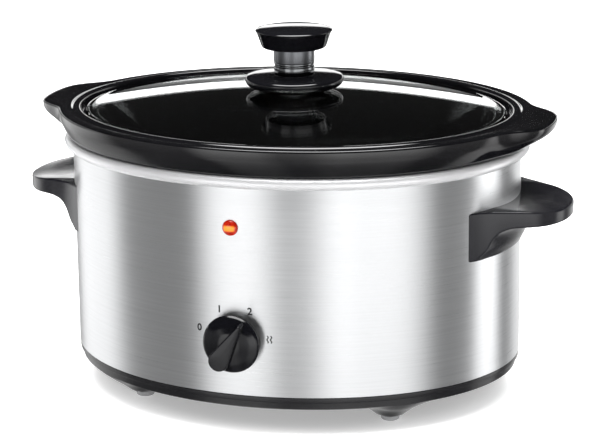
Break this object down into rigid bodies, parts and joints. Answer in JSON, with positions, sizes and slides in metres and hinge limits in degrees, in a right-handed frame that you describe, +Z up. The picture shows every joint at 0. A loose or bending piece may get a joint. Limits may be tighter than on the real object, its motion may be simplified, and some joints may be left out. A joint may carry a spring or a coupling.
{
  "type": "slow cooker",
  "caption": "Oval countertop slow cooker: brushed casing with side handles, rotary heat control and pilot light, lift-out stoneware crock and glass lid.",
  "frame": {"origin": "on the table, under the centre of the oval casing", "axes": "+Z up; +X along the oval's length, to the right when facing the control knob; +Y to the rear, where the lead enters"},
  "size_m": [0.373, 0.277, 0.239],
  "materials": {
    "brushed_casing": "brushed along the length, satin",
    "well_steel": "satin",
    "base_plastic": "gloss",
    "zinc_steel": "zinc plated",
    "label_foil": "matt foil, blank",
    "heater_mica": "mica and glass fibre",
    "glass_fibre": "woven glass fibre",
    "spring_steel": "spring steel",
    "fuse_metal": "satin",
    "brass_tag": "satin",
    "knob_plastic": "semi gloss",
    "shaft_steel": "turned",
    "switch_nylon": "matt",
    "switch_resin": "matt thermoset",
    "lens_red": "clear red moulding",
    "neon_glass": "clear",
    "gland_rubber": "matt",
    "block_ceramic": "glazed",
    "wire_brown": "silicone sheath",
    "wire_blue": "silicone sheath",
    "wire_green": "silicone sheath",
    "black_glaze": "high gloss glaze",
    "lid_glass": "clear polished",
    "band_steel": "satin turned",
    "silicone": "matt",
    "foot_rubber": "matt",
    "handle_plastic": "satin"
  },
  "bodies": {
    "root": {"band_spring": "spring_steel", "base_cover": "base_plastic", "base_ring": "base_plastic", "base_screws": "zinc_steel", "casing": "brushed_casing", "cord_gland": "gland_rubber", "detent_ball": "shaft_steel", "detent_spring": "spring_steel", "earth_tag": "brass_tag", "earth_wire": "wire_green", "foot_pad_front_left": "foot_rubber", "foot_pad_front_right": "foot_rubber", "foot_pad_rear_left": "foot_rubber", "foot_pad_rear_right": "foot_rubber", "fuse_clip": "zinc_steel", "handle_left": "handle_plastic", "handle_plate_left": "zinc_steel", "handle_plate_right": "zinc_steel", "handle_right": "handle_plastic", "handle_screws": "zinc_steel", "heater_band": "heater_mica", "heating_well": "well_steel", "indicator_lens": "lens_red", "insulation_blanket": "glass_fibre", "lens_clip": "spring_steel", "live_wire": "wire_brown", "neon_lamp": "neon_glass", "neutral_wire": "wire_blue", "rating_plate": "label_foil", "switch_bracket": "zinc_steel", "switch_contacts": "brass_tag", "switch_cover": "switch_resin", "switch_housing": "switch_resin", "switch_screws": "zinc_steel", "switch_terminals": "brass_tag", "terminal_block": "block_ceramic", "terminal_screws": "brass_tag", "thermal_fuse": "fuse_metal", "well_nut": "zinc_steel", "well_stud": "zinc_steel", "well_washer": "zinc_steel"},
    "control": {"control_knob": "knob_plastic", "knob_clip": "spring_steel", "switch_shaft": "shaft_steel", "switch_rotor": "switch_nylon"},
    "crock": {"crock": "black_glaze"},
    "lid": {"lid_glass": "lid_glass", "lid_knob_base": "knob_plastic", "lid_knob_stem": "knob_plastic", "lid_knob_band": "band_steel", "lid_knob_cap": "knob_plastic", "lid_knob_insert": "brass_tag", "lid_bolt": "shaft_steel", "lid_upper_washer": "silicone", "lid_lower_washer": "silicone"}
  },
  "joints": [
    {"name": "knob_turn", "type": "hinge", "parent": "root", "child": "control", "pos_m": [0, -0.123, 0.062], "axis": [0, 1, 0], "range_deg": [-104, 52]},
    {"name": "crock_lift", "type": "slide", "parent": "root", "child": "crock", "axis": [0, 0, 1], "range_m": [0, 0.16]},
    {"name": "lid_lift", "type": "slide", "parent": "crock", "child": "lid", "axis": [0, 0, 1], "range_m": [0, 0.1]}
  ]
}
